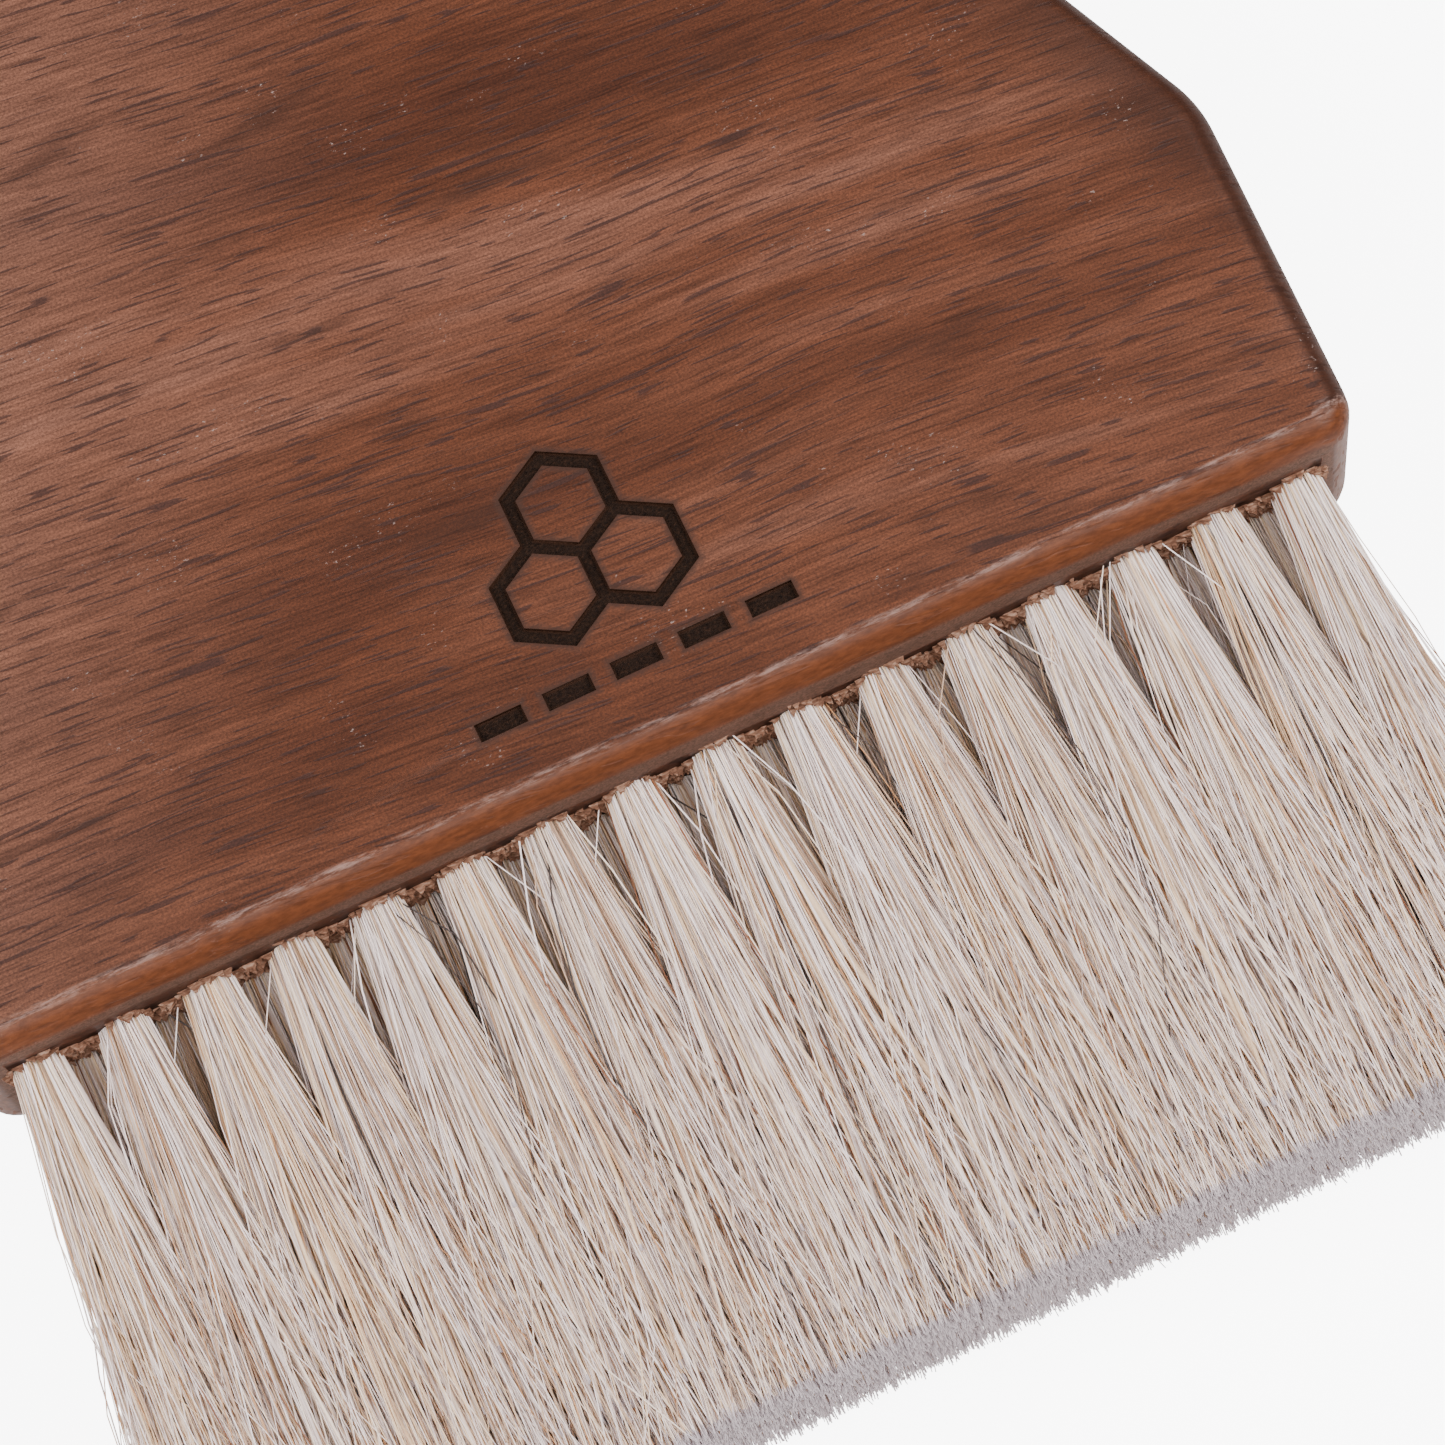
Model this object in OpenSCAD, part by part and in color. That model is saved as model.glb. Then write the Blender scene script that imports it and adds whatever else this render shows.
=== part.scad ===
// Bee brush: one wooden block with a wide grip, and three staggered rows of
// drawn hair tufts, each folded over a steel anchor at the bottom of its hole.
// The brush lies on its back. +Z is up out of the front face, +Y points to the
// end of the grip, and +X runs across the head. Millimetres.

/* [Block] */
// Width of the head at the tuft face
head_w = 133; // [130:1:134]
// Width of the head at its shoulders
shoulder_w = 135; // [134:1:138]
// Thickness of the wood
block_t = 24; // [22:0.5:30]
// Height of the wood, from the tuft holes to the end of the grip
block_h = 120; // [112:1:135]
// Height of the head's straight sides, up to the shoulders
shoulder_h = 34; // [24:1:38]
// Width of the waist, where the hand holds it
waist_w = 101; // [92:1:108]
// Angle at which the shoulders run in towards the waist
taper_deg = 23; // [20:1:28]
// Radius of the edges round the front face
front_r = 2.8; // [1:0.2:3]
// Radius of the softer edges round the back
back_r = 6; // [3:0.5:6]
// Diameter of the hanging hole
hang_d = 8; // [5:0.5:10]
// Distance from the hanging hole's centre to the end of the grip
hang_inset = 15; // [13:0.5:20]

/* [Filling] */
// Number of tufts in the front row, and in the back row
outer_tufts = 16; // [12:1:16]
// Distance between the tufts along a row
tuft_pitch = 8; // [7:0.1:8]
// Distance between the rows
row_pitch = 4.5; // [4.4:0.1:5]
// Diameter of the tuft holes
hole_d = 4.6; // [4.2:0.1:4.8]
// Depth of the tuft holes
hole_depth = 12; // [10:0.5:14]
// Length of the hair that shows
hair_len = 55; // [40:1:70]
// Half angle at which each tuft fans out across the head
fan_deg = 7.7; // [5:0.1:9]
// How far the outer rows spread towards the front and the back
row_spread = 3.5; // [2.5:0.1:4]
// How far the end tufts spread towards the sides
side_spread = 5.5; // [4.5:0.1:6.5]
// Gap left between neighbouring tufts where they fill out
tuft_gap = 0.1; // [0.05:0.05:0.3]

/* [Anchors] */
// Thickness of the anchor wire
anchor_t = 0.35; // [0.25:0.05:0.5]
// Height of the anchor wire, along its hole
anchor_h = 1.8; // [1.4:0.1:2.2]
// How far each end of the wire bites into the wood
anchor_bite = 0.4; // [0.2:0.05:0.6]
// Distance from the bottom of the hole to the wire
anchor_lift = 1.2; // [0.8:0.1:2]

/* [Hidden] */
$fn = 64;
wood_colour = "#8a5238";
hair_colour = "#e6dccb";
steel_colour = "silver";

// Arcs of the block's outline: corner, shoulder, end of the grip, and the crown
// across the top.
corner_r = 4;
corner_min_r = 0.4;
shoulder_r = 13;
grip_r = 24;
crown_r = 150;
arc_steps = 9;
front_steps = 5;
back_steps = 7;

// The brush is centred on Y = 0, so the tufts leave the wood here.
root_y = (hair_len - block_h) / 2;
// The hair in a hole, and the clearance round it and below it
hair_clear = 0.05;
root_r = hole_d / 2 - hair_clear;
tip_r = root_r + hair_len * tan(fan_deg);
anchor_w = hole_d + 2 * anchor_bite;
anchor_y = root_y + hole_depth - anchor_lift - anchor_h / 2;

rows = ["front", "middle", "back"];

function row_count(row) = row == "middle" ? outer_tufts - 1 : outer_tufts;
function row_side(row) = row == "front" ? 1 : row == "back" ? -1 : 0;
function row_z(row) = block_t / 2 + row_side(row) * row_pitch;
function tuft_x(row, i) = (i - (row_count(row) + 1) / 2) * tuft_pitch;
function tuft_name(row, i) = str("tuft_", row, "_", i < 10 ? "0" : "", i);

// Points along an arc, from one angle to another, about a centre
function arc(x, y, r, from, to) = [
    for (k = [0:arc_steps])
        let (a = from + (to - from) * k / arc_steps)
            [x + r * cos(a), y + r * sin(a)]
];

// The right half of the block's outline, from the bottom edge to the middle of
// the crown, drawn smaller all round by the inset. Each arc touches the next,
// and the hollow of the waist runs from the shoulder's taper to the grip's end.
function half_outline(inset) =
    let (
        half = head_w / 2,
        shoulder = shoulder_w / 2,
        waist = waist_w / 2,
        side_deg = atan((shoulder - half) / shoulder_h),
        corner = max(corner_r - inset, corner_min_r),
        corner_y = inset + corner,
        corner_x = half - (inset + corner) / cos(side_deg) + corner_y * tan(side_deg),
        shoulder_far = shoulder_r / cos((taper_deg + side_deg) / 2),
        shoulder_x = shoulder - shoulder_far * cos((taper_deg - side_deg) / 2),
        shoulder_y = shoulder_h - shoulder_far * sin((taper_deg - side_deg) / 2),
        grip_x = waist - grip_r,
        crown_drop = sqrt(pow(crown_r - grip_r, 2) - pow(grip_x, 2)),
        crown_y = block_h - crown_r,
        grip_y = crown_y + crown_drop,
        crown_deg = atan2(crown_drop, grip_x),
        taper_reach = (grip_y - shoulder_h) * tan(taper_deg) - (shoulder - waist),
        hollow_r = taper_reach / (1 / cos(taper_deg) - 1),
        hollow_x = waist + hollow_r
    )
    concat(
        arc(corner_x, corner_y, corner, -90, -side_deg),
        arc(shoulder_x, shoulder_y, shoulder_r - inset, -side_deg, taper_deg),
        arc(hollow_x, grip_y, hollow_r + inset, 180 + taper_deg, 180),
        [for (p = arc(grip_x, grip_y, grip_r - inset, 0, crown_deg)) if (p[1] > grip_y + 1) p],
        [for (p = arc(0, crown_y, crown_r - inset, crown_deg, 90)) if (p[0] < grip_x - 1) p]
    );

function reversed(list) = [for (k = [len(list) - 1:-1:0]) list[k]];

// The whole outline at one height, with its left half mirrored from the right
function ring(inset, z) =
    let (right = half_outline(inset))
    let (left = [for (p = reversed(right)) if (p[0] > 0.001) [-p[0], p[1]]])
    [for (p = concat(right, left)) [p[0], p[1] + root_y, z]];

// The rings that round the back edges, then those that round the front edges
block_rings = concat(
    [for (k = [0:back_steps])
        let (a = 90 * k / back_steps)
            ring(back_r * (1 - sin(a)), back_r * (1 - cos(a)))],
    [for (k = [0:front_steps])
        let (a = 90 * k / front_steps)
            ring(front_r * (1 - cos(a)), block_t - front_r * (1 - sin(a)))]
);

// A flat end across one ring, in strips that each join two mirrored steps
function ring_strips(first, count) =
    let (crown = (count - 1) / 2)
    [for (k = [0:crown - 1])
        let (a = first + k, b = first + count - 1 - k)
            k == crown - 1 ? [a, a + 1, b] : [a, a + 1, b - 1, b]];

// A closed skin over rings that all have the same number of points
module skin(rings) {
    count = len(rings[0]);
    last = len(rings) - 1;
    polyhedron(
        points = [for (r = rings) for (p = r) p],
        faces = concat(
            ring_strips(0, count),
            [for (strip = ring_strips(last * count, count)) reversed(strip)],
            [for (r = [0:last - 1]) for (k = [0:count - 1])
                let (a = r * count + k, b = r * count + (k + 1) % count)
                    [a, a + count, b + count, b]]
        )
    );
}

// One blind tuft hole, drilled into the block from the tuft face
module tuft_hole(row, i) {
    translate([tuft_x(row, i), root_y + hole_depth, row_z(row)])
        rotate([90, 0, 0])
            cylinder(d = hole_d, h = hole_depth + 1);
}

// The flat wire that holds one tuft at the bottom of its hole
module anchor(row, i) {
    translate([tuft_x(row, i), anchor_y, row_z(row)])
        cube([anchor_w, anchor_h, anchor_t], center = true);
}

module hanging_hole() {
    translate([0, root_y + block_h - hang_inset, -1])
        cylinder(d = hang_d, h = block_t + 2);
}

// Head and grip in one board
module block() {
    color(wood_colour)
        difference() {
            skin(block_rings);
            for (row = rows) {
                for (i = [1:row_count(row)]) {
                    tuft_hole(row, i);
                    anchor(row, i);
                }
            }
            hanging_hole();
        }
}

// The anchors of one row, each a separate wire
module anchors(row) {
    color(steel_colour)
        for (i = [1:row_count(row)]) anchor(row, i);
}

// The space that one tuft may fill between its neighbours
module tuft_cell(row, i) {
    side_gap = tuft_pitch / 2 - tuft_gap / 2;
    row_gap = row_pitch / 2 - tuft_gap / 2;
    left = i == 1 ? -side_spread : -side_gap;
    right = i == row_count(row) ? side_spread : side_gap;
    below = row == "back" ? -row_spread : -row_gap;
    above = row == "front" ? row_spread : row_gap;
    translate([left, -hair_len - 1, below])
        cube([right - left, hair_len + 1, above - below]);
}

// One bundle of hair: its root fills the hole, and its fan fills its cell
module tuft(row, i) {
    color(hair_colour)
        difference() {
            translate([tuft_x(row, i), root_y, row_z(row)])
                union() {
                    rotate([-90, 0, 0])
                        cylinder(r = root_r, h = hole_depth - hair_clear);
                    intersection() {
                        rotate([90, 0, 0])
                            cylinder(r1 = root_r, r2 = tip_r, h = hair_len);
                        tuft_cell(row, i);
                    }
                }
            anchor(row, i);
        }
}

block();
for (row = rows) {
    anchors(row);
    for (i = [1:row_count(row)])
        tuft(row, i);
}
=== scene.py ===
from math import cos, pi, radians, sin

import bpy
import numpy as np
from mathutils import Matrix, Vector


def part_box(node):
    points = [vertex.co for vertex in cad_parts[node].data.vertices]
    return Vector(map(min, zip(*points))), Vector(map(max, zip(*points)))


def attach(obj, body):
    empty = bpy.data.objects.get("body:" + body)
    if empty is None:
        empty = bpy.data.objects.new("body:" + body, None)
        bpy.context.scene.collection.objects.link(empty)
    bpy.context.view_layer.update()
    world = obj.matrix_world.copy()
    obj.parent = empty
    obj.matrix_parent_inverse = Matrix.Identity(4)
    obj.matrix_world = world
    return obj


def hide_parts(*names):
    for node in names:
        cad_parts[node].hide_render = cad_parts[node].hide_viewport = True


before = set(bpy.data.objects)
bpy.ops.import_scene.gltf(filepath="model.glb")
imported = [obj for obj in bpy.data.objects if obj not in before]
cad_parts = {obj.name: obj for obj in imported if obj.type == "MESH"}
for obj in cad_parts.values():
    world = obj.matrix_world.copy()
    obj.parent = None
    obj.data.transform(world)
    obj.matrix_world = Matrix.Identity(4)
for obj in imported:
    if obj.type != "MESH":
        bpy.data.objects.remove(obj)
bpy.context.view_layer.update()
MM = 0.001


# ---- The wooden block ---------------------------------------------------------
# Head and grip are sawn from one beech board, its long side along the grain. The
# edges are rounded and sanded, the wood is stained walnut brown and oiled, and
# the holes are drilled through the stain, so their rims are torn and bare.
block_low, block_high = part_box("block")
tuft_face_y = block_low.y
front_z = block_high.z


def select_only(piece):
    bpy.ops.object.select_all(action="DESELECT")
    piece.select_set(True)
    bpy.context.view_layer.objects.active = piece


weld_gap = 0.002 * MM
flat_gap = 0.001 * MM
select_only(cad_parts["block"])
bpy.ops.object.duplicate()
block = bpy.context.object
block.name = "oiled_block"
select_only(block)
bpy.ops.object.mode_set(mode="EDIT")
bpy.ops.mesh.select_all(action="SELECT")
bpy.ops.mesh.remove_doubles(threshold=weld_gap)

# The flat front and back are cut out and filled again from their outlines, so
# that no triangle is folded over where the waist is hollow.
for flat_z in (front_z, block_low.z):
    bpy.ops.mesh.select_mode(type="FACE")
    bpy.ops.mesh.select_all(action="DESELECT")
    bpy.ops.object.mode_set(mode="OBJECT")
    for face in block.data.polygons:
        face.select = abs(face.center.z - flat_z) < flat_gap
    bpy.ops.object.mode_set(mode="EDIT")
    bpy.ops.mesh.delete(type="FACE")
    bpy.ops.mesh.select_mode(type="EDGE")
    bpy.ops.mesh.select_non_manifold()
    bpy.ops.mesh.fill(use_beauty=True)
bpy.ops.mesh.select_all(action="SELECT")
bpy.ops.mesh.normals_make_consistent(inside=False)
bpy.ops.object.mode_set(mode="OBJECT")

# The mark is a patch of three comb cells over a row of dashes, branded into the
# front face with a hot iron, so its lines are sunk and charred.
mark_x = 1.0 * MM
mark_y = tuft_face_y + 20.5 * MM
mark_depth = 0.45 * MM
# A cell is measured from its centre to a corner, along the middle of its line.
# Its sides are nearer to the centre than its corners are, by this ratio.
cell_size = 4.7 * MM
cell_line = 1.5 * MM
side_ratio = 0.866
cell_step = 2 * cell_size * side_ratio
cell_centres = [
    (mark_x - cell_step / 2, mark_y - cell_size * 0.75),
    (mark_x + cell_step / 2, mark_y - cell_size * 0.75),
    (mark_x, mark_y + cell_size * 0.75),
]
dash_y = tuft_face_y + 8.0 * MM
dash_size = (4.4 * MM, 1.7 * MM)
dash_step = 6.4 * MM
dash_count = 5
dash_row = (dash_count - 1) / 2 * dash_step
dash_centres = [(mark_x - dash_row + k * dash_step, dash_y) for k in range(dash_count)]


def sink(cutter):
    """Cuts one branding iron's shape into the block, and takes the iron away."""
    select_only(block)
    cut = block.modifiers.new("branding", "BOOLEAN")
    cut.operation = "DIFFERENCE"
    cut.solver = "EXACT"
    cut.object = cutter
    bpy.ops.object.modifier_apply(modifier=cut.name)
    bpy.data.objects.remove(cutter)


irons = []
for x, y in cell_centres:
    bpy.ops.object.select_all(action="DESELECT")
    bpy.ops.mesh.primitive_cylinder_add(
        vertices=6, radius=cell_size + cell_line / 2, depth=2 * mark_depth,
        location=(x, y, front_z),
    )
    ring = bpy.context.object
    bpy.ops.mesh.primitive_cylinder_add(
        vertices=6, radius=cell_size - cell_line / 2, depth=4 * mark_depth,
        location=(x, y, front_z),
    )
    core = bpy.context.object
    select_only(ring)
    hollow = ring.modifiers.new("hollow", "BOOLEAN")
    hollow.operation = "DIFFERENCE"
    hollow.object = core
    bpy.ops.object.modifier_apply(modifier=hollow.name)
    bpy.data.objects.remove(core)
    irons.append(ring)
for x, y in dash_centres:
    bpy.ops.object.select_all(action="DESELECT")
    bpy.ops.mesh.primitive_cube_add(size=1, location=(x, y, front_z))
    dash = bpy.context.object
    dash.scale = (dash_size[0], dash_size[1], 2 * mark_depth)
    bpy.ops.object.transform_apply(location=False, rotation=False, scale=True)
    irons.append(dash)
for iron in irons:
    sink(iron)

block.data.materials.clear()


def add(tree, kind, inputs=None, **settings):
    """One shader node, with its settings, and its inputs set or linked by name."""
    made = tree.nodes.new(kind)
    for key, value in settings.items():
        setattr(made, key, value)
    for key, value in (inputs or {}).items():
        socket = made.inputs[key]
        if isinstance(value, bpy.types.NodeSocket):
            tree.links.new(value, socket)
        else:
            socket.default_value = value
    return made


def calc(tree, operation, first, second=0.0, third=0.0):
    made = add(tree, "ShaderNodeMath", {0: first, 1: second, 2: third}, operation=operation)
    return made.outputs[0]


def rise(tree, value, start, end):
    """0 below the start and 1 above the end, with a soft step between."""
    made = add(tree, "ShaderNodeMapRange",
               {"Value": value, "From Min": start, "From Max": end},
               interpolation_type="SMOOTHSTEP")
    return made.outputs["Result"]


def fall(tree, value, start, end):
    """1 below the start and 0 above the end, with a soft step between."""
    return calc(tree, "SUBTRACT", 1.0, rise(tree, value, start, end))


def tint(tree, share, below, above, blend="MIX"):
    """The first colour, turned towards the second by the share."""
    made = add(tree, "ShaderNodeMix", {0: share, 6: below, 7: above},
               data_type="RGBA", blend_type=blend)
    return made.outputs[2]


def ramp(tree, value, *stops):
    made = add(tree, "ShaderNodeValToRGB", {"Fac": value})
    points = made.color_ramp.elements
    while len(points) < len(stops):
        points.new(0.5)
    for point, (position, colour) in zip(points, stops):
        point.position = position
        point.color = (*colour, 1)
    return made.outputs["Color"]


def spots(tree, place, size, detail=2.0, roughness=0.5):
    """Noise whose features are about this size, in metres, across each axis."""
    run = add(tree, "ShaderNodeMapping", {"Vector": place, "Scale": [1 / s for s in size]})
    made = add(tree, "ShaderNodeTexNoise",
               {"Vector": run.outputs[0], "Scale": 1.0, "Detail": detail, "Roughness": roughness})
    return made.outputs["Fac"]


def new_group(name, takes, gives):
    tree = bpy.data.node_groups.new(name, "ShaderNodeTree")
    for label, kind in takes:
        tree.interface.new_socket(label, in_out="INPUT", socket_type=kind)
    for label, kind in gives:
        tree.interface.new_socket(label, in_out="OUTPUT", socket_type=kind)
    return tree, tree.nodes.new("NodeGroupInput"), tree.nodes.new("NodeGroupOutput")


# The figure of beech: broad bands, fine fibres and the short dark rays.
beech, beech_in, beech_out = new_group(
    "beech_figure",
    [("Place", "NodeSocketVector")],
    [("Bands", "NodeSocketFloat"), ("Fibres", "NodeSocketFloat"), ("Rays", "NodeSocketFloat")],
)
along = add(beech, "ShaderNodeMapping",
            {"Vector": beech_in.outputs[0], "Rotation": (0, 0, radians(4.5))}).outputs[0]
wander = add(beech, "ShaderNodeTexNoise", {"Vector": along, "Scale": 16.0, "Detail": 1.0})
shifted = add(beech, "ShaderNodeVectorMath",
              {0: wander.outputs["Color"], "Scale": 0.005}, operation="SCALE").outputs[0]
along = add(beech, "ShaderNodeVectorMath", {0: along, 1: shifted}, operation="ADD").outputs[0]
bands = spots(beech, along, (110 * MM, 13 * MM, 40 * MM), 4.0, 0.6)
streaks = spots(beech, along, (9 * MM, 0.45 * MM, 2 * MM), 3.0, 0.65)
threads = spots(beech, along, (4.0 * MM, 0.16 * MM, 0.8 * MM), 2.0, 0.6)
fibres = calc(beech, "MULTIPLY_ADD", streaks, 0.55, calc(beech, "MULTIPLY", threads, 0.45))
rays = spots(beech, along, (4.5 * MM, 0.34 * MM, 1.4 * MM), 0.0, 0.5)
long_rays = spots(beech, along, (9 * MM, 0.46 * MM, 2.5 * MM), 0.0, 0.5)
dark_rays = calc(beech, "MAXIMUM", rise(beech, rays, 0.67, 0.73),
                 rise(beech, long_rays, 0.71, 0.77))
beech.links.new(bands, beech_out.inputs["Bands"])
beech.links.new(fibres, beech_out.inputs["Fibres"])
beech.links.new(dark_rays, beech_out.inputs["Rays"])

# How far a place on the front face is from the edge of the nearest branded line,
# in metres, and less than 0 inside the line.
cell_group, cell_in, cell_out = new_group(
    "from_one_cell",
    [("Place", "NodeSocketVector"), ("Centre", "NodeSocketVector")],
    [("Gap", "NodeSocketFloat")],
)
offset = add(cell_group, "ShaderNodeVectorMath",
             {0: cell_in.outputs["Place"], 1: cell_in.outputs["Centre"]}, operation="SUBTRACT")
walls = []
for turn in (0, pi / 3, 2 * pi / 3):
    across = add(cell_group, "ShaderNodeVectorMath",
                 {0: offset.outputs[0], 1: (cos(turn), sin(turn), 0)}, operation="DOT_PRODUCT")
    walls.append(calc(cell_group, "ABSOLUTE", across.outputs["Value"]))
farthest = calc(cell_group, "MAXIMUM", calc(cell_group, "MAXIMUM", walls[0], walls[1]), walls[2])
from_line = calc(cell_group, "SUBTRACT", farthest, cell_size * side_ratio)
from_edge = calc(cell_group, "SUBTRACT", calc(cell_group, "ABSOLUTE", from_line),
                 cell_line / 2 * side_ratio)
cell_group.links.new(from_edge, cell_out.inputs["Gap"])

brand, brand_in, brand_out = new_group(
    "from_the_mark", [("Place", "NodeSocketVector")], [("Gap", "NodeSocketFloat")])
spot = add(brand, "ShaderNodeSeparateXYZ", {0: brand_in.outputs[0]})
from_middle = calc(brand, "SUBTRACT", spot.outputs["X"], mark_x)
in_step = calc(brand, "WRAP", from_middle, dash_step / 2, -dash_step / 2)
from_row_end = calc(brand, "SUBTRACT", calc(brand, "ABSOLUTE", from_middle),
                    dash_row + dash_size[0] / 2)
above_row = calc(brand, "ABSOLUTE", calc(brand, "SUBTRACT", spot.outputs["Y"], dash_y))
gap = calc(brand, "SUBTRACT", calc(brand, "ABSOLUTE", in_step), dash_size[0] / 2)
gap = calc(brand, "MAXIMUM", gap, from_row_end)
gap = calc(brand, "MAXIMUM", gap, calc(brand, "SUBTRACT", above_row, dash_size[1] / 2))
for x, y in cell_centres:
    cell = add(brand, "ShaderNodeGroup",
               {"Place": brand_in.outputs[0], "Centre": (x, y, 0)}, node_tree=cell_group)
    gap = calc(brand, "MINIMUM", gap, cell.outputs["Gap"])
brand.links.new(gap, brand_out.inputs["Gap"])

walnut = bpy.data.materials.new("walnut_stained_beech")
walnut.use_nodes = True
tree = walnut.node_tree
shader = tree.nodes["Principled BSDF"]
where = add(tree, "ShaderNodeTexCoord")
place = where.outputs["Object"]
figure = add(tree, "ShaderNodeGroup", {"Place": place}, node_tree=beech)
facing = add(tree, "ShaderNodeSeparateXYZ", {0: where.outputs["Normal"]})
point = add(tree, "ShaderNodeSeparateXYZ", {0: place})
on_front = rise(tree, facing.outputs["Z"], 0.9, 0.99)
stain = ramp(tree, figure.outputs["Bands"],
             (0.34, (0.042, 0.0105, 0.0034)), (0.46, (0.064, 0.0178, 0.0064)),
             (0.56, (0.086, 0.0270, 0.0120)), (0.68, (0.126, 0.0490, 0.0290)))
# A painted sheen turns the stain paler and greyer towards the left side, standing in for the lamps'
# soft reflection there.
painted_sheen = fall(tree, calc(tree, "MULTIPLY_ADD", point.outputs["Y"], -0.6, point.outputs["X"]),
             -66 * MM, -12 * MM)
stain = tint(tree, calc(tree, "MULTIPLY", painted_sheen, 0.46), stain, (0.190, 0.088, 0.060, 1))
fine = ramp(tree, figure.outputs["Fibres"],
            (0.34, (0.54, 0.52, 0.51)), (0.5, (1.0, 1.0, 1.0)), (0.66, (1.42, 1.40, 1.38)))
stain = tint(tree, 1.0, stain, fine, "MULTIPLY")
stain = tint(tree, calc(tree, "MULTIPLY", figure.outputs["Rays"], 0.74),
             stain, (0.024, 0.008, 0.006, 1))
grit = ramp(tree, spots(tree, place, (0.24 * MM, 0.2 * MM, 0.24 * MM), 2.0, 0.7),
            (0.35, (0.68, 0.66, 0.64)), (0.65, (1.34, 1.34, 1.34)))
stain = tint(tree, 1.0, stain, grit, "MULTIPLY")
# The stain gathers in dark smudges, in the end grain, and by the shoulders'
# tapered edges, where it is measured along the direction square out of them.
smudge = rise(tree, spots(tree, place, (22 * MM, 5 * MM, 12 * MM), 4.0, 0.65), 0.55, 0.72)
sideways = calc(tree, "ABSOLUTE", facing.outputs["X"])
end_grain = rise(tree, sideways, 0.02, 0.5)
above = calc(tree, "SUBTRACT", point.outputs["Y"], tuft_face_y)
taper_out = (0.92, 0.39)
by_taper = calc(tree, "MULTIPLY_ADD", calc(tree, "ABSOLUTE", point.outputs["X"]), taper_out[0],
                calc(tree, "MULTIPLY", above, taper_out[1]))
by_shoulder = calc(tree, "MULTIPLY", rise(tree, by_taper, 63 * MM, 76 * MM),
                   fall(tree, above, 40 * MM, 75 * MM))
darker = calc(tree, "MAXIMUM", calc(tree, "MULTIPLY", smudge, 0.5),
              calc(tree, "MAXIMUM", calc(tree, "MULTIPLY", end_grain, 0.85),
                   calc(tree, "MULTIPLY", by_shoulder, 0.8)))
stain = tint(tree, darker, stain, (0.023, 0.0070, 0.0032, 1))
# Knocks have left a few pale specks in the oil.
speck = calc(tree, "MULTIPLY",
             rise(tree, spots(tree, place, (0.7 * MM, 0.35 * MM, 0.5 * MM), 3.0, 0.7), 0.62, 0.7),
             rise(tree, spots(tree, place, (9 * MM, 7 * MM, 8 * MM), 1.0, 0.5), 0.6, 0.68))
stain = tint(tree, calc(tree, "MULTIPLY", speck, 0.45), stain, (0.42, 0.33, 0.30, 1))
# Along the front edge by the tufts the stain is thin and orange. Where the face begins to turn
# there is a pale line, partly rubbed wear and partly a painted highlight where the oil catches the
# light.
turned = calc(tree, "MULTIPLY", facing.outputs["Y"], -1.0)
turned = calc(tree, "MULTIPLY", turned, rise(tree, facing.outputs["Z"], -0.2, 0.0))
wear_and_glint_grain = spots(tree, place, (4 * MM, 0.6 * MM, 0.6 * MM), 5.0, 0.8)
rubbed_and_glinting = calc(tree, "MULTIPLY", rise(tree, turned, 0.0, 0.14), fall(tree, turned, 0.18, 0.42))
wear_and_glint = calc(tree, "MULTIPLY", rubbed_and_glinting, rise(tree, wear_and_glint_grain, 0.42, 0.66))
patch = ramp(tree, spots(tree, place, (1.4 * MM, 0.4 * MM, 0.4 * MM), 4.0, 0.65),
             (0.36, (0.7, 0.67, 0.64)), (0.64, (1.3, 1.32, 1.34)))
glow = calc(tree, "MULTIPLY", rise(tree, turned, 0.12, 0.4), fall(tree, turned, 0.9, 0.99))
thin = tint(tree, 1.0, (0.098, 0.0275, 0.0085, 1), patch, "MULTIPLY")
stain = tint(tree, calc(tree, "MULTIPLY", glow, 0.85), stain, thin)
# The pale line: partly wear, partly a painted highlight.
stain = tint(tree, calc(tree, "MULTIPLY", wear_and_glint, 0.5), stain, (0.38, 0.24, 0.20, 1))
# The tuft face is flat and matt, and coloured paler and greyer than the stain.
under = rise(tree, calc(tree, "MULTIPLY", facing.outputs["Y"], -1.0), 0.94, 0.995)
grey_face_tone = tint(tree, 1.0, (0.105, 0.058, 0.041, 1), grit, "MULTIPLY")
stain = tint(tree, calc(tree, "MULTIPLY", under, 0.8), stain, grey_face_tone)
# The iron has scorched the wood close to its lines.
mark = add(tree, "ShaderNodeGroup", {"Place": place}, node_tree=brand)
ragged = calc(tree, "MULTIPLY_ADD", spots(tree, place, (0.6 * MM, 0.5 * MM, 0.5 * MM), 3.0, 0.7),
              0.9 * MM, calc(tree, "SUBTRACT", mark.outputs["Gap"], 0.45 * MM))
scorch = calc(tree, "MULTIPLY", fall(tree, ragged, -0.1 * MM, 0.75 * MM), on_front)
stain = tint(tree, calc(tree, "MULTIPLY", scorch, 0.85), stain, (0.030, 0.012, 0.007, 1))
tree.links.new(stain, shader.inputs["Base Color"])
dull = calc(tree, "MULTIPLY_ADD", figure.outputs["Rays"], 0.12,
            calc(tree, "MULTIPLY_ADD", figure.outputs["Fibres"], 0.3, 0.36))
dull = calc(tree, "MULTIPLY_ADD", under, 0.3, dull)
dull = calc(tree, "MULTIPLY_ADD", scorch, 0.3, calc(tree, "MULTIPLY_ADD", glow, -0.12, dull))
tree.links.new(dull, shader.inputs["Roughness"])
tree.links.new(calc(tree, "MULTIPLY_ADD", end_grain, -0.18, 0.25),
               shader.inputs["Specular IOR Level"])
pores = add(tree, "ShaderNodeBump",
            {"Strength": 0.6, "Distance": 0.05 * MM,
             "Height": calc(tree, "SUBTRACT", figure.outputs["Fibres"], figure.outputs["Rays"])})
tree.links.new(pores.outputs[0], shader.inputs["Normal"])

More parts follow.
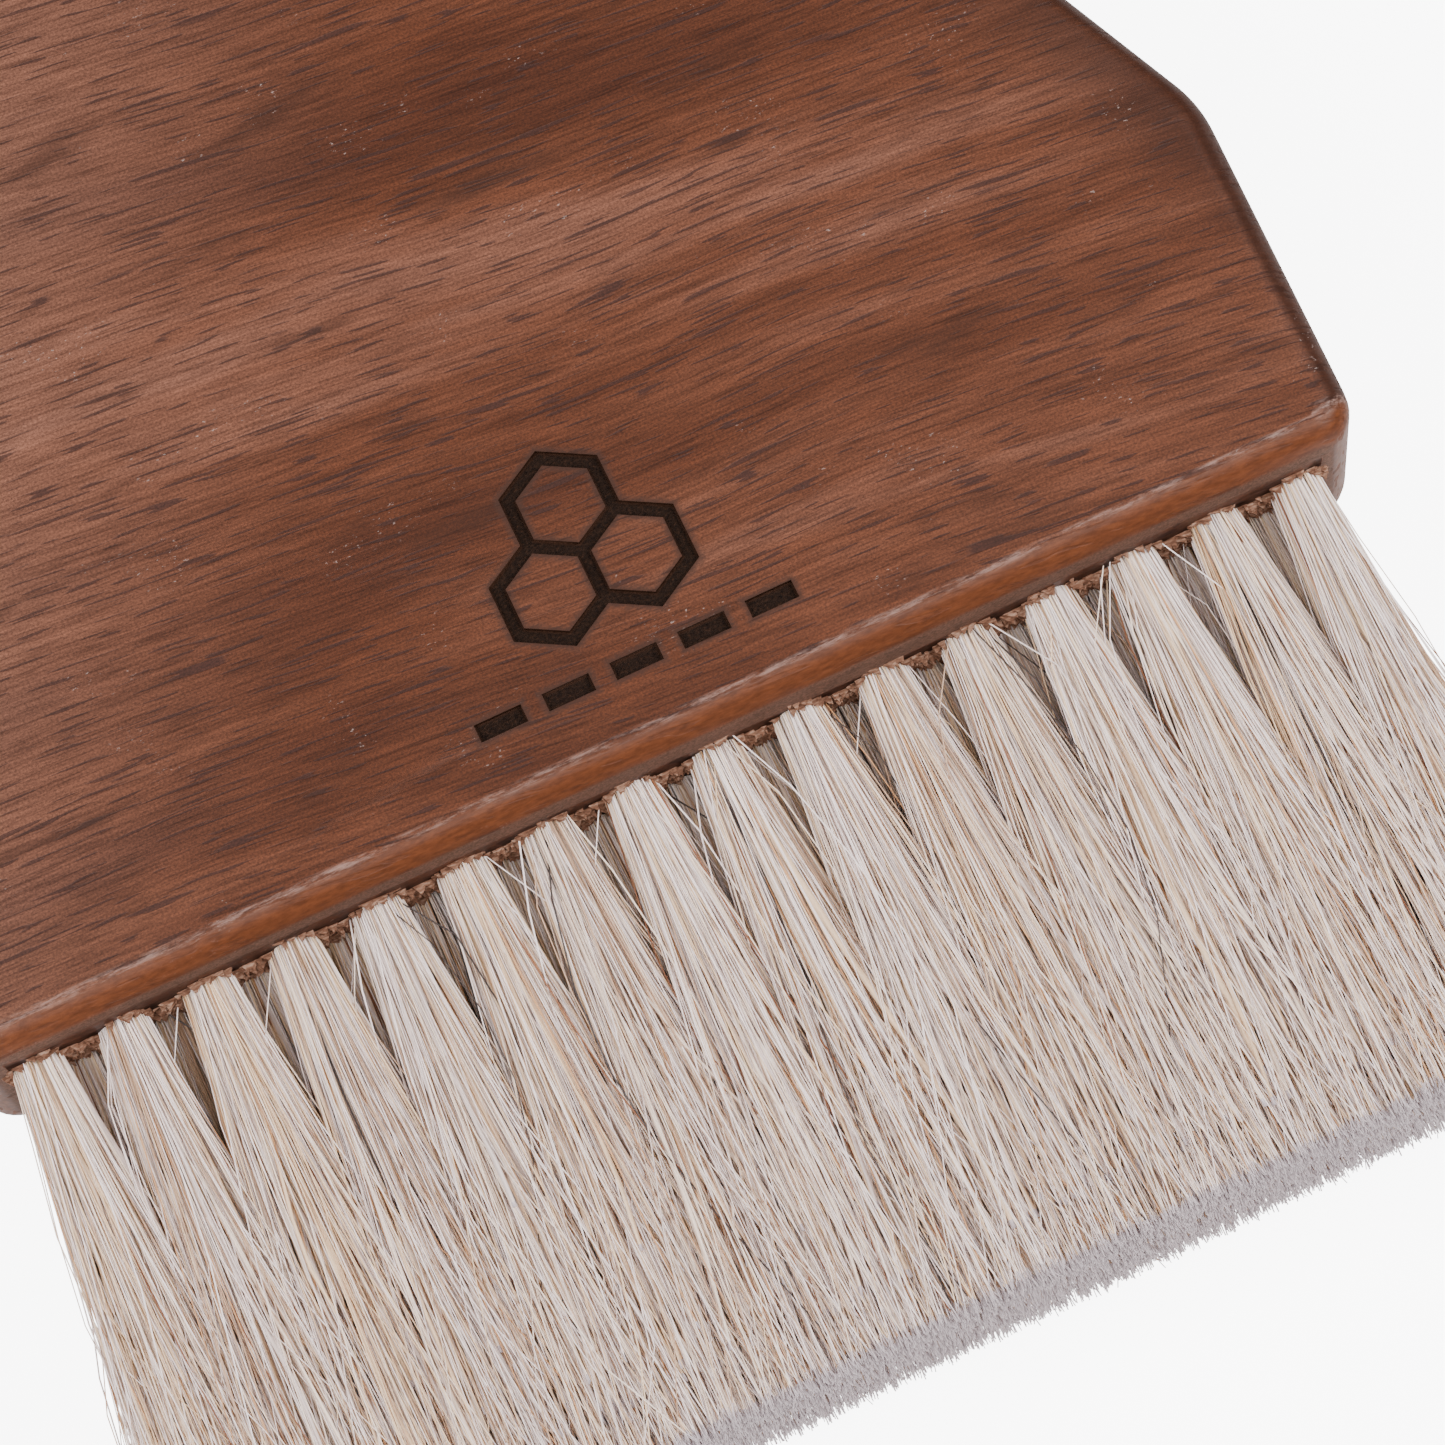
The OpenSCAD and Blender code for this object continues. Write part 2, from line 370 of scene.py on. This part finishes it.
char = bpy.data.materials.new("charred_line")
char.use_nodes = True
tree = char.node_tree
shader = tree.nodes["Principled BSDF"]
shader.inputs["Specular IOR Level"].default_value = 0.06
place = add(tree, "ShaderNodeTexCoord").outputs["Object"]
ash = spots(tree, place, (0.35 * MM, 0.28 * MM, 0.5 * MM), 4.0, 0.7)
burnt = ramp(tree, ash, (0.3, (0.005, 0.0025, 0.002)), (0.55, (0.016, 0.008, 0.005)),
             (0.72, (0.036, 0.016, 0.009)))
mark = add(tree, "ShaderNodeGroup", {"Place": place}, node_tree=brand)
rim = rise(tree, mark.outputs["Gap"], -0.3 * MM, 0.02 * MM)
burnt = tint(tree, calc(tree, "MULTIPLY", rim, 0.6), burnt, (0.042, 0.017, 0.009, 1))
tree.links.new(burnt, shader.inputs["Base Color"])
tree.links.new(calc(tree, "MULTIPLY_ADD", ash, 0.4, 0.4), shader.inputs["Roughness"])
crust = add(tree, "ShaderNodeBump", {"Strength": 1.0, "Distance": 0.25 * MM, "Height": ash})
tree.links.new(crust.outputs[0], shader.inputs["Normal"])

torn = bpy.data.materials.new("torn_fibres")
torn.use_nodes = True
tree = torn.node_tree
shader = tree.nodes["Principled BSDF"]
shader.inputs["Specular IOR Level"].default_value = 0.2
shader.inputs["Roughness"].default_value = 0.8
place = add(tree, "ShaderNodeTexCoord").outputs["Object"]
raw = spots(tree, place, (0.8 * MM, 0.25 * MM, 0.25 * MM), 3.0, 0.6)
tree.links.new(ramp(tree, raw, (0.35, (0.085, 0.034, 0.018)), (0.5, (0.17, 0.078, 0.046)),
                    (0.68, (0.33, 0.20, 0.14))), shader.inputs["Base Color"])

# Every face between the front and the bottom of the mark, within the patch that
# the mark fills, is charred.
mark_half_w = 20 * MM
mark_bottom = tuft_face_y + 3 * MM
mark_top = mark_y + 12 * MM
for material in (walnut, char, torn):
    block.data.materials.append(material)
for face in block.data.polygons:
    depth = front_z - face.center.z
    sunk = 0.05 * MM < depth < mark_depth + 0.08 * MM
    in_width = abs(face.center.x - mark_x) < mark_half_w
    in_height = mark_bottom < face.center.y < mark_top
    face.material_index = 1 if sunk and in_width and in_height else 0
select_only(block)
bpy.ops.object.shade_smooth_by_angle(angle=radians(32))
weighted = block.modifiers.new("flat_faces", "WEIGHTED_NORMAL")
weighted.keep_sharp = True
weighted.weight = 100
bpy.ops.object.modifier_apply(modifier=weighted.name)

# The drill tears short fibres loose round each hole. They lie along the grain
# and stand a little proud of the tuft face.
tuft_roots = {}
for row in ("front", "middle", "back"):
    wires_low, wires_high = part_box("anchors_" + row)
    names = sorted(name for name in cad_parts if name.startswith("tuft_" + row))
    inner = [sum(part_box(name), Vector()).x / 2 for name in names[1:3]]
    for k, name in enumerate(names):
        root_x = inner[0] + (k - 1) * (inner[1] - inner[0])
        tuft_roots[name] = Vector((root_x, tuft_face_y, (wires_low.z + wires_high.z) / 2))

# Flakes lie round each rim, and in a patch on the wood between the front holes.
rim_radius = 2.3 * MM
rim_scatter = 0.3 * MM
flakes_per_rim = 40
flakes_per_web = 46
web_reach = 1.5 * MM
web_drop = 0.4 * MM
flake_foot = 0.1 * MM
rng = np.random.default_rng(12)
flake_places = []
for root in tuft_roots.values():
    for turn in rng.uniform(0, 2 * pi, flakes_per_rim):
        out = rim_radius + abs(rng.normal(0, rim_scatter))
        flake_places.append(root + Vector((out * cos(turn), 0, out * sin(turn))))
front_roots = [root for name, root in tuft_roots.items() if name.startswith("tuft_front")]
for near, far in zip(front_roots, front_roots[1:]):
    for side, lift in rng.uniform(-1, 1, (flakes_per_web, 2)):
        flake_places.append(
            (near + far) / 2 + Vector((side * web_reach, 0, lift * web_reach - web_drop)))
flake_points, flake_faces = [], []
for middle in flake_places:
    long = rng.uniform(0.2, 0.9) * MM
    thick = rng.uniform(0.08, 0.3) * MM
    proud = rng.uniform(0.1, 0.9) * MM
    first = len(flake_points)
    for side, lift in ((-1, -1), (1, -1), (1, 1), (-1, 1)):
        flake_points.append(middle + Vector((side * long, flake_foot, lift * thick)))
    tip = Vector((rng.uniform(-1, 1) * long, -proud, rng.uniform(-1.5, 1.5) * thick))
    flake_points.append(middle + tip)
    flake_faces += [(first + k, first + (k + 1) % 4, first + 4) for k in range(4)]
    flake_faces.append((first + 3, first + 2, first + 1, first))
flake_mesh = bpy.data.meshes.new("flakes")
flake_mesh.from_pydata(flake_points, [], flake_faces)
for material in (walnut, char, torn):
    flake_mesh.materials.append(material)
for face in flake_mesh.polygons:
    face.material_index = 2
flakes = bpy.data.objects.new("flakes", flake_mesh)
bpy.context.scene.collection.objects.link(flakes)
select_only(block)
flakes.select_set(True)
bpy.ops.object.join()
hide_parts("block")
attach(block, "root")


# ---- The anchors --------------------------------------------------------------
# A short flat steel wire lies across each tuft's fold at the bottom of its hole,
# with its ends pressed into the wood.
wire_steel = bpy.data.materials.new("anchor_wire")
wire_steel.use_nodes = True
tree = wire_steel.node_tree
shader = tree.nodes["Principled BSDF"]
shader.inputs["Metallic"].default_value = 1.0
drawn = spots(tree, add(tree, "ShaderNodeTexCoord").outputs["Object"],
              (3 * MM, 0.1 * MM, 0.1 * MM), 3.0, 0.6)
tree.links.new(ramp(tree, drawn, (0.3, (0.42, 0.41, 0.40)), (0.7, (0.66, 0.65, 0.63))),
               shader.inputs["Base Color"])
tree.links.new(calc(tree, "MULTIPLY_ADD", drawn, 0.3, 0.25), shader.inputs["Roughness"])
for row in ("front", "middle", "back"):
    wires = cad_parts["anchors_" + row]
    wires.data.materials.clear()
    wires.data.materials.append(wire_steel)


# ---- The hair tufts -----------------------------------------------------------
# Each tuft is a bundle of drawn horsehair, folded in half and pulled into its
# hole. The hairs fan out until they meet the next tuft, cross each other, and are
# trimmed square at the end.

# Most hairs are white or cream, and a few are blond, brown or black. Each shade
# has its share in a hundred hairs. The last one is only for the cut ends, and is a
# painted shade: darker and greyer, for the shade on the trimmed end of the brush.
hair_shades = [
    ("white_hair", (0.98, 0.84, 0.80), 38),
    ("cream_hair", (0.93, 0.75, 0.62), 27),
    ("pale_grey_hair", (0.77, 0.63, 0.58), 11),
    ("straw_hair", (0.85, 0.61, 0.40), 11),
    # Tan is partly real and partly painted shade: darker hairs standing in for the shade deep among
    # the hairs.
    ("tan_and_shade_hair", (0.56, 0.36, 0.24), 8),
    ("blond_hair", (0.62, 0.33, 0.16), 3),
    ("russet_hair", (0.26, 0.10, 0.045), 1.1),
    ("dark_hair", (0.045, 0.03, 0.027), 0.4),
    ("shaded_cut_end", (0.57, 0.485, 0.50), 0),
]
hair_materials = []
for label, colour, share in hair_shades:
    shade = bpy.data.materials.new(label)
    shade.use_nodes = True
    shader = shade.node_tree.nodes["Principled BSDF"]
    shader.inputs["Base Color"].default_value = (*colour, 1)
    shader.inputs["Roughness"].default_value = 0.35
    shader.inputs["Specular IOR Level"].default_value = 0.5
    hair_materials.append(shade)
shade_odds = np.array([share for label, colour, share in hair_shades])
shade_odds = shade_odds / shade_odds.sum()
shade_number = {label: k for k, (label, colour, share) in enumerate(hair_shades)}

# One hair: a tube of three sides, through rings from its root to its cut end.
hair_radius = 0.085 * MM
tip_taper = 0.75
ring_count = 9
sides = 3
cut_start = 0.985
hidden_root = 3 * MM
# The bundle that a hole holds, and how soon it opens: above 1 is sooner.
bundle_radius = 2.15 * MM
fan_power = 1.12
middle_z = tuft_roots["tuft_middle_01"].z
# The ends are trimmed nearly level, and some hairs are shorter.
trim_scatter = 0.4 * MM
short_share = 0.2
short_by = 5 * MM
shortest_by = 20 * MM
# How far the ends land from where an even fan would put them, along the row and
# between the rows, and how far past its reach a tuft may go.
crossing_scatter = 1.8 * MM
far_crossing_share = 0.08
far_crossing = 2.5
row_scatter = 0.8 * MM
overlap = 0.8 * MM
# Wild hairs swing more. All swing less between the rows than along them.
wild_share = 0.35
wild_swing = 2.6
depth_swing = 0.45
# Strays leave their tuft this far along the row, and out from it.
stray_scatter = 4.5 * MM
stray_lift = 1.2 * MM


def hair_paths(rng, count, root, low, high, left_reach, right_reach, strays):
    """Points along each hair, from inside the hole to the trimmed end."""
    turn = rng.uniform(0, 2 * pi, count)
    out = np.sqrt(rng.uniform(0, 1, count))
    side, lift = out * np.cos(turn), out * np.sin(turn)
    step = np.append(np.linspace(0, cut_start, ring_count - 1), 1.0)[None, :]
    length = root.y - low.y - np.abs(rng.normal(0, trim_scatter, count))
    short = rng.uniform(0, 1, count) < short_share
    length = length - short * np.minimum(rng.exponential(short_by, count), shortest_by)
    fan = 1 - (1 - step) ** fan_power
    crossing = rng.normal(0, crossing_scatter, count)
    far = rng.uniform(0, 1, count) < far_crossing_share
    crossing = np.where(far, crossing * far_crossing, crossing)
    end_x = np.where(side > 0, side * right_reach, side * left_reach) + crossing
    end_x = np.clip(end_x, -left_reach - overlap, right_reach + overlap)
    end_z = np.where(lift > 0, lift * (high.z - root.z), lift * (root.z - low.z))
    end_z = end_z + rng.normal(0, row_scatter, count)
    x = root.x + (side * bundle_radius)[:, None] * (1 - fan) + end_x[:, None] * fan
    z = root.z + (lift * bundle_radius)[:, None] * (1 - fan) + end_z[:, None] * fan
    y = root.y + hidden_root * (1 - step) ** 6 - length[:, None] * step
    # Every hair bows and waves a little, and about a third are wild: they swing
    # across their neighbours in the outer half.
    wild = np.where(rng.uniform(0, 1, count) < wild_share, wild_swing, 1.0)
    swings = (
        (0.45 * MM, np.sin(pi * step) * step),
        (0.60 * MM, np.sin(2 * pi * step) * step),
        (0.30 * MM, np.sin(3 * pi * step) * step),
        (1.20 * MM, step ** 3),
    )
    for size, shape in swings:
        x = x + (rng.normal(0, size, count) * wild)[:, None] * shape
        lifting = rng.normal(0, depth_swing * size, count) * wild
        z = z + lifting[:, None] * shape * (1 - step ** 4)
    x = np.clip(x, root.x - left_reach - overlap, root.x + right_reach + overlap)
    # A few strays leave their tuft early and arch across the gap beside it.
    stray = rng.uniform(0, 1, count) < strays
    arch = np.sin(pi * step ** rng.uniform(0.5, 0.9, count)[:, None])
    bulge = np.clip(rng.normal(0, stray_scatter, count), -left_reach, right_reach)
    x = x + (stray * bulge)[:, None] * arch
    outward = np.sign(root.z - middle_z) * rng.uniform(0, stray_lift, count)
    z = z + (stray * outward)[:, None] * arch
    return np.stack([x, y, z], axis=2), side, lift, stray


def hair_mesh(name, paths, thick, shades, rng):
    """One mesh of thin three-sided hairs, each a row of rings closed at its end."""
    count = len(paths)
    ring = np.linspace(0, 2 * pi, sides, endpoint=False)[None, :]
    ring = ring + rng.uniform(0, 2 * pi, count)[:, None]
    taper = np.linspace(1.0, tip_taper, ring_count)[None, :, None]
    thick = thick[:, None, None] * taper
    across = np.stack([np.cos(ring), np.zeros_like(ring), np.sin(ring)], axis=2)
    points = paths[:, :, None, :] + thick[..., None] * across[:, None, :, :]
    first = (np.arange(count) * ring_count * sides)[:, None, None]
    level = (np.arange(ring_count - 1) * sides)[None, :, None]
    corner = np.arange(sides)[None, None, :]
    after = (corner + 1) % sides
    a, b = first + level + corner, first + level + after
    walls = np.stack([a, a + sides, b + sides, b], axis=3).reshape(-1, 4)
    last = (first + (ring_count - 1) * sides)[:, 0]
    ends = last + np.arange(sides)[None, ::-1]
    mesh = bpy.data.meshes.new(name)
    mesh.vertices.add(points.size // 3)
    mesh.vertices.foreach_set("co", points.ravel())
    corners = np.concatenate([walls.ravel(), ends.ravel()])
    mesh.loops.add(len(corners))
    mesh.loops.foreach_set("vertex_index", corners.astype(np.int32))
    starts = np.concatenate([np.arange(len(walls)) * 4, len(walls) * 4 + np.arange(count) * sides])
    mesh.polygons.add(len(starts))
    mesh.polygons.foreach_set("loop_start", starts.astype(np.int32))
    # The cut ends and the last short ring of walls get a painted shade, darker and greyer than the
    # hair.
    shaded_cut_end = shade_number["shaded_cut_end"]
    wall_shades = np.repeat(shades[:, None], (ring_count - 1) * sides, axis=1)
    wall_shades[:, -sides:] = shaded_cut_end
    picked = np.concatenate([wall_shades.ravel(), np.full(count, shaded_cut_end)])
    for shade in hair_materials:
        mesh.materials.append(shade)
    mesh.polygons.foreach_set("material_index", picked.astype(np.int32))
    mesh.polygons.foreach_set("use_smooth", np.ones(len(starts), bool))
    mesh.update(calc_edges=True)
    mesh.validate()
    return mesh


hairs_in_row = {"front": 760, "middle": 340, "back": 560}
stray_share = 0.014
dark_stray_share = 0.12
dyed_share = 0.5
straw, tan_and_shade = shade_number["straw_hair"], shade_number["tan_and_shade_hair"]
cream, grey = shade_number["cream_hair"], shade_number["pale_grey_hair"]
# The thick inner locks, kept within the hairs that cover them
locks_per_tuft = 90
lock_radius = 0.32 * MM
lock_short_by = Vector((0, 5 * MM, 0))
lock_reach = 0.8
lock_width = 0.85
lock_depth = 0.75
# How far a tuft's hair spreads along its row, inside the row and at its two ends
inner_reach = 6.4 * MM
left_end_reach = 6.2 * MM
right_end_reach = 3.6 * MM
for row, count in hairs_in_row.items():
    names = sorted(name for name in tuft_roots if name.startswith("tuft_" + row))
    for k, name in enumerate(names):
        root = tuft_roots[name]
        low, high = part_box(name)
        rng = np.random.default_rng([ord(row[0]), k])
        left_reach = left_end_reach if k == 0 else inner_reach
        right_reach = right_end_reach if k == len(names) - 1 else inner_reach
        strays = stray_share if 0 < k < len(names) - 1 else 0.0
        paths, side, lift, stray = hair_paths(
            rng, count, root, low, high, left_reach, right_reach, strays)
        thick = hair_radius * rng.uniform(0.75, 1.2, count)
        shades = rng.choice(len(hair_shades), count, p=shade_odds)
        # One to three locks of each tuft are straw or tan, and a few strays are dark.
        for lock in range(rng.integers(1, 4)):
            turn = rng.uniform(0, 2 * pi)
            near = np.hypot(side - 0.8 * cos(turn), lift - 0.8 * sin(turn)) < rng.uniform(0.15, 0.3)
            dyed = near & (rng.uniform(0, 1, count) < dyed_share)
            shades = np.where(dyed, rng.choice([straw, straw, tan_and_shade]), shades)
        dark = stray & (rng.uniform(0, 1, count) < dark_stray_share)
        shades = np.where(dark, shade_number["dark_hair"], shades)
        # Deeper in, the hairs lie so close that they show as thick locks, which
        # end short of the trimmed tips.
        inside = hair_paths(
            rng, locks_per_tuft, root, low + lock_short_by, high,
            lock_reach * left_reach, lock_reach * right_reach, 0.0)[0]
        inside[:, :, 0] = root.x + (inside[:, :, 0] - root.x) * lock_width
        inside[:, :, 2] = root.z + (inside[:, :, 2] - root.z) * lock_depth
        paths = np.concatenate([paths, inside])
        thick = np.concatenate([thick, lock_radius * rng.uniform(0.7, 1.2, locks_per_tuft)])
        lock_shades = rng.choice([cream, cream, grey, straw], locks_per_tuft)
        shades = np.concatenate([shades, lock_shades])
        mesh = hair_mesh("hair_" + name, paths, thick, shades, rng)
        tuft = bpy.data.objects.new("hair_" + name[5:], mesh)
        bpy.context.scene.collection.objects.link(tuft)
        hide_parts(name)
        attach(tuft, "root")


# ---- The studio ---------------------------------------------------------------
# A white table under large soft lamps, with the camera above the front face,
# leaning towards the hair.
bpy.ops.object.select_all(action="DESELECT")
table_top = -0.2 * MM
bpy.ops.mesh.primitive_plane_add(size=6, location=(0, 0, table_top))
table = bpy.context.object
table.name = "table"
paper = bpy.data.materials.new("white_paper")
paper.use_nodes = True
tree = paper.node_tree
shader = tree.nodes["Principled BSDF"]
shader.inputs["Base Color"].default_value = (0.93, 0.93, 0.93, 1)
shader.inputs["Roughness"].default_value = 0.9
shader.inputs["Emission Color"].default_value = (1, 1, 1, 1)
seen = add(tree, "ShaderNodeLightPath").outputs["Is Camera Ray"]
tree.links.new(calc(tree, "MULTIPLY_ADD", seen, 6.5, 0.5), shader.inputs["Emission Strength"])
table.data.materials.append(paper)

view_distance = 0.5
view_lean = radians(18.43)
view_turn = radians(-4.09)
view_roll = radians(26.07)
look_at = Vector((5.3 * MM, tuft_face_y - 0.3 * MM, front_z))
level_reach = cos(view_lean)
to_camera = Vector(
    (sin(view_turn) * level_reach, -sin(view_lean), cos(view_turn) * level_reach))
level_right = Vector((cos(view_turn), 0, -sin(view_turn)))
level_up = to_camera.cross(level_right)
right = cos(view_roll) * level_right - sin(view_roll) * level_up
up = sin(view_roll) * level_right + cos(view_roll) * level_up
camera = bpy.data.objects.new("camera", bpy.data.cameras.new("camera"))
camera.data.sensor_width = 36
camera.data.lens = 146
camera.matrix_world = Matrix.Translation(look_at + view_distance * to_camera) @ Matrix(
    (right, up, to_camera)).transposed().to_4x4()
bpy.context.scene.collection.objects.link(camera)
bpy.context.scene.camera = camera


def soft_lamp(name, place, size, power):
    lamp = bpy.data.objects.new(name, bpy.data.lights.new(name, "AREA"))
    lamp.data.shape = "RECTANGLE"
    lamp.data.size, lamp.data.size_y = size
    lamp.data.energy = power
    lamp.location = place
    lamp.rotation_euler = (-Vector(place)).to_track_quat("-Z", "Y").to_euler()
    bpy.context.scene.collection.objects.link(lamp)


soft_lamp("left_lamp", (-0.72, -0.1, 0.74), (0.8, 0.6), 13)
soft_lamp("right_lamp", (0.76, -0.2, 0.74), (0.8, 0.6), 17)
soft_lamp("top_lamp", (0, -0.5, 1.1), (0.8, 0.5), 5)
# The room is pale and dim, and a white screen stands behind the table.
world = bpy.data.worlds.new("studio")
world.use_nodes = True
tree = world.node_tree
room = tree.nodes["Background"]
room.inputs["Color"].default_value = (1.0, 0.98, 1.0, 1)
seen = add(tree, "ShaderNodeLightPath").outputs["Is Camera Ray"]
tree.links.new(calc(tree, "MULTIPLY_ADD", seen, 7.0, 0.42), room.inputs["Strength"])
bpy.context.scene.world = world
